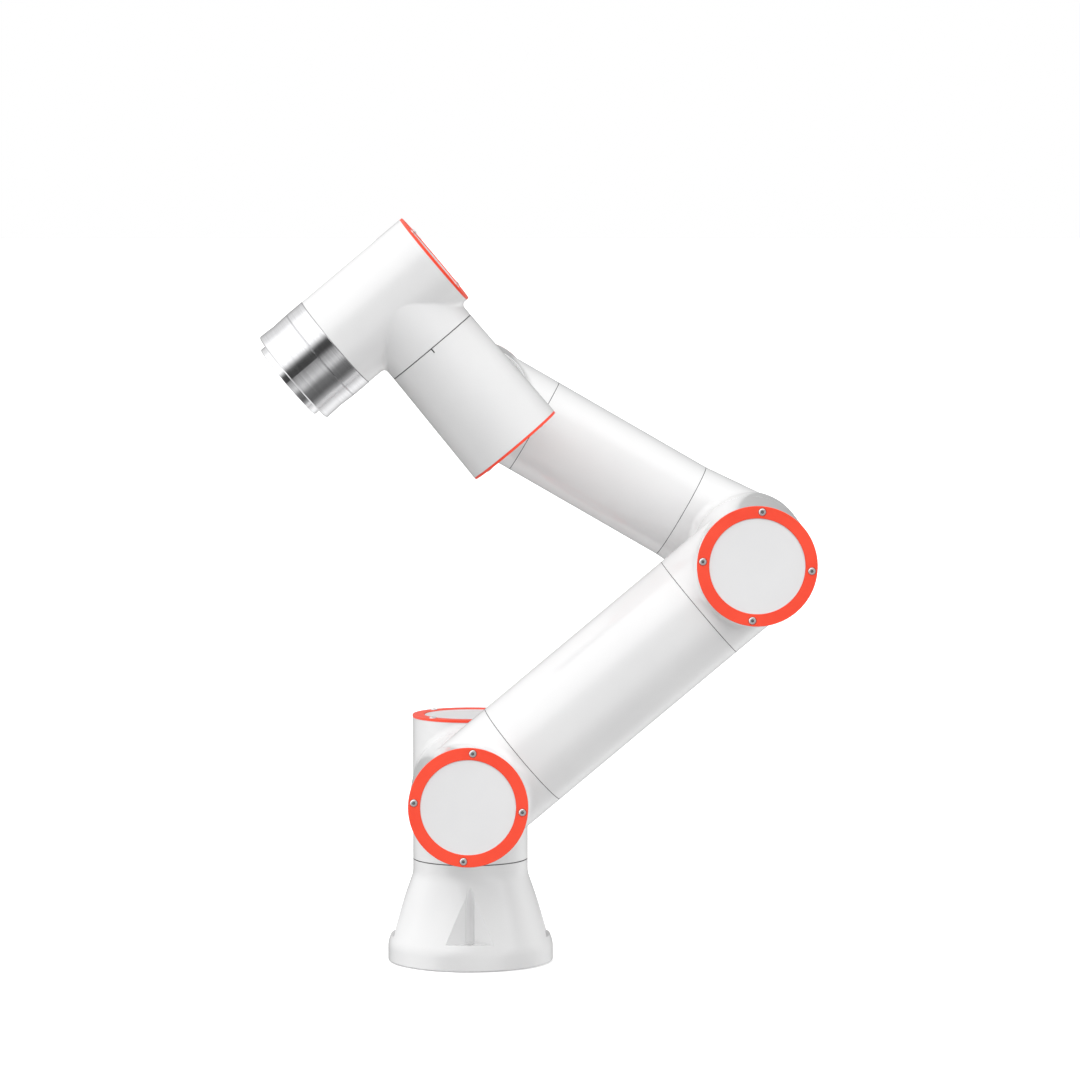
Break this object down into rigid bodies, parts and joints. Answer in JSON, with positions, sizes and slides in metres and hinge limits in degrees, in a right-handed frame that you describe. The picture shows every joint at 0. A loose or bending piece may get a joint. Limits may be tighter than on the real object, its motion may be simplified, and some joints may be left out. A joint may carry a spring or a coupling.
{
  "type": "collaborative robot arm",
  "caption": "Articulated collaborative robot arm with white cast housings, orange cap rings, offset wrist and round metal tool flange, bolted down by its flared base.",
  "frame": {"origin": "centre of the base's mounting face, on the first joint's axis", "axes": "+Z along the first joint's axis, away from the mounting face; +X the way the upper arm leans in the stored pose; the upper arm and wrist hang on the -Y side"},
  "size_m": [0.4154, 0.2266, 0.5765],
  "materials": {
    "white_casting": "gloss",
    "white_tube": "gloss",
    "orange_ring": "satin",
    "cap_grey": "satin",
    "screw_steel": "satin",
    "turned_metal": "gloss",
    "flange_metal": "satin",
    "drive_metal": "satin",
    "gear_steel": "satin",
    "motor_copper": "satin",
    "motor_iron": "satin",
    "circuit_board": "satin",
    "black_plastic": "matte"
  },
  "bodies": {
    "base": {"base_casting": "white_casting", "base_cable_inlet": "black_plastic", "j1_output_flange": "drive_metal"},
    "shoulder": {"shoulder_casting": "white_casting", "j1_cap_ring": "orange_ring", "j1_cap_disc": "cap_grey", "shoulder_cap_screws": "screw_steel", "j1_stator": "motor_copper", "j1_gear": "gear_steel", "j1_drive_board": "circuit_board", "j2_output_flange": "drive_metal"},
    "upper_arm": {"upper_arm_shoulder_casting": "white_casting", "upper_arm_tube": "white_tube", "upper_arm_elbow_casting": "white_casting", "j2_cap_ring": "orange_ring", "j2_cap_disc": "cap_grey", "j3_cap_ring": "orange_ring", "j3_cap_disc": "cap_grey", "upper_arm_cap_screws": "screw_steel", "j2_stator": "motor_copper", "j2_gear": "gear_steel", "j2_drive_board": "circuit_board", "j3_stator": "motor_copper", "j3_gear": "gear_steel", "j3_drive_board": "circuit_board"},
    "forearm": {"forearm_elbow_casting": "white_casting", "forearm_tube": "white_tube", "forearm_wrist_casting": "white_casting", "j3_output_flange": "drive_metal", "j4_cap_ring": "orange_ring", "j4_cap_disc": "cap_grey", "forearm_cap_screws": "screw_steel", "j4_stator": "motor_copper", "j4_gear": "gear_steel", "j4_drive_board": "circuit_board"},
    "wrist_1": {"wrist_1_casting": "white_casting", "j4_output_flange": "drive_metal", "j5_cap_ring": "orange_ring", "j5_cap_disc": "cap_grey", "wrist_1_cap_screws": "screw_steel", "j5_stator": "motor_copper", "j5_gear": "gear_steel", "j5_drive_board": "circuit_board"},
    "wrist_2": {"wrist_2_casting": "white_casting", "wrist_2_metal_ring": "turned_metal", "j5_output_flange": "drive_metal", "j6_cap_ring": "orange_ring", "j6_cap_disc": "cap_grey", "wrist_2_cap_screws": "screw_steel", "j6_stator": "motor_copper", "j6_gear": "gear_steel", "j6_drive_board": "circuit_board"},
    "tool": {"tool_collar": "turned_metal", "tool_flange": "flange_metal"},
    "motor_1": {"j1_rotor": "motor_iron"},
    "motor_2": {"j2_rotor": "motor_iron"},
    "motor_3": {"j3_rotor": "motor_iron"},
    "motor_4": {"j4_rotor": "motor_iron"},
    "motor_5": {"j5_rotor": "motor_iron"},
    "motor_6": {"j6_rotor": "motor_iron"}
  },
  "joints": [
    {"name": "base_turn", "type": "hinge", "parent": "base", "child": "shoulder", "pos_m": [0, 0, 0.14], "axis": [0, 0, 1], "range_deg": [-175, 175]},
    {"name": "shoulder_swing", "type": "hinge", "parent": "shoulder", "child": "upper_arm", "pos_m": [0, -0.11, 0.14], "axis": [0, 1, 0], "range_deg": [-210, 110]},
    {"name": "elbow_swing", "type": "hinge", "parent": "upper_arm", "child": "forearm", "pos_m": [0.21449, -0.11, 0.31998], "axis": [0, -1, 0], "range_deg": [-260, 40]},
    {"name": "wrist_1_swing", "type": "hinge", "parent": "forearm", "child": "wrist_1", "pos_m": [0.00665, 0, 0.43998], "axis": [0, 1, 0], "range_deg": [-145, 105]},
    {"name": "wrist_2_turn", "type": "hinge", "parent": "wrist_1", "child": "wrist_2", "pos_m": [-0.05892, -0.102, 0.51812], "axis": [-0.6428, 0, 0.766], "range_deg": [-85, 265]},
    {"name": "tool_turn", "type": "hinge", "parent": "wrist_2", "child": "tool", "pos_m": [-0.05892, -0.102, 0.51812], "axis": [-0.766, 0, -0.6428], "range_deg": [-175, 175]},
    {"name": "motor_1_spin", "type": "hinge", "parent": "shoulder", "child": "motor_1", "pos_m": [0, 0, 0.14], "axis": [0, 0, 1], "range_deg": [-17500, 17500]},
    {"name": "motor_2_spin", "type": "hinge", "parent": "upper_arm", "child": "motor_2", "pos_m": [0, -0.11, 0.14], "axis": [0, 1, 0], "range_deg": [-21000, 11000]},
    {"name": "motor_3_spin", "type": "hinge", "parent": "upper_arm", "child": "motor_3", "pos_m": [0.21449, -0.11, 0.31998], "axis": [0, -1, 0], "range_deg": [-4000, 26000]},
    {"name": "motor_4_spin", "type": "hinge", "parent": "forearm", "child": "motor_4", "pos_m": [0.00665, 0, 0.43998], "axis": [0, 1, 0], "range_deg": [-10500, 14500]},
    {"name": "motor_5_spin", "type": "hinge", "parent": "wrist_1", "child": "motor_5", "pos_m": [-0.05892, -0.102, 0.51812], "axis": [-0.6428, 0, 0.766], "range_deg": [-26500, 8500]},
    {"name": "motor_6_spin", "type": "hinge", "parent": "wrist_2", "child": "motor_6", "pos_m": [-0.05892, -0.102, 0.51812], "axis": [-0.766, 0, -0.6428], "range_deg": [-17500, 17500]}
  ],
  "couplings": [
    {"joint": "motor_1_spin", "follows": "base_turn", "ratio": 100},
    {"joint": "motor_2_spin", "follows": "shoulder_swing", "ratio": 100},
    {"joint": "motor_3_spin", "follows": "elbow_swing", "ratio": -100},
    {"joint": "motor_4_spin", "follows": "wrist_1_swing", "ratio": -100},
    {"joint": "motor_5_spin", "follows": "wrist_2_turn", "ratio": -100},
    {"joint": "motor_6_spin", "follows": "tool_turn", "ratio": -100}
  ]
}
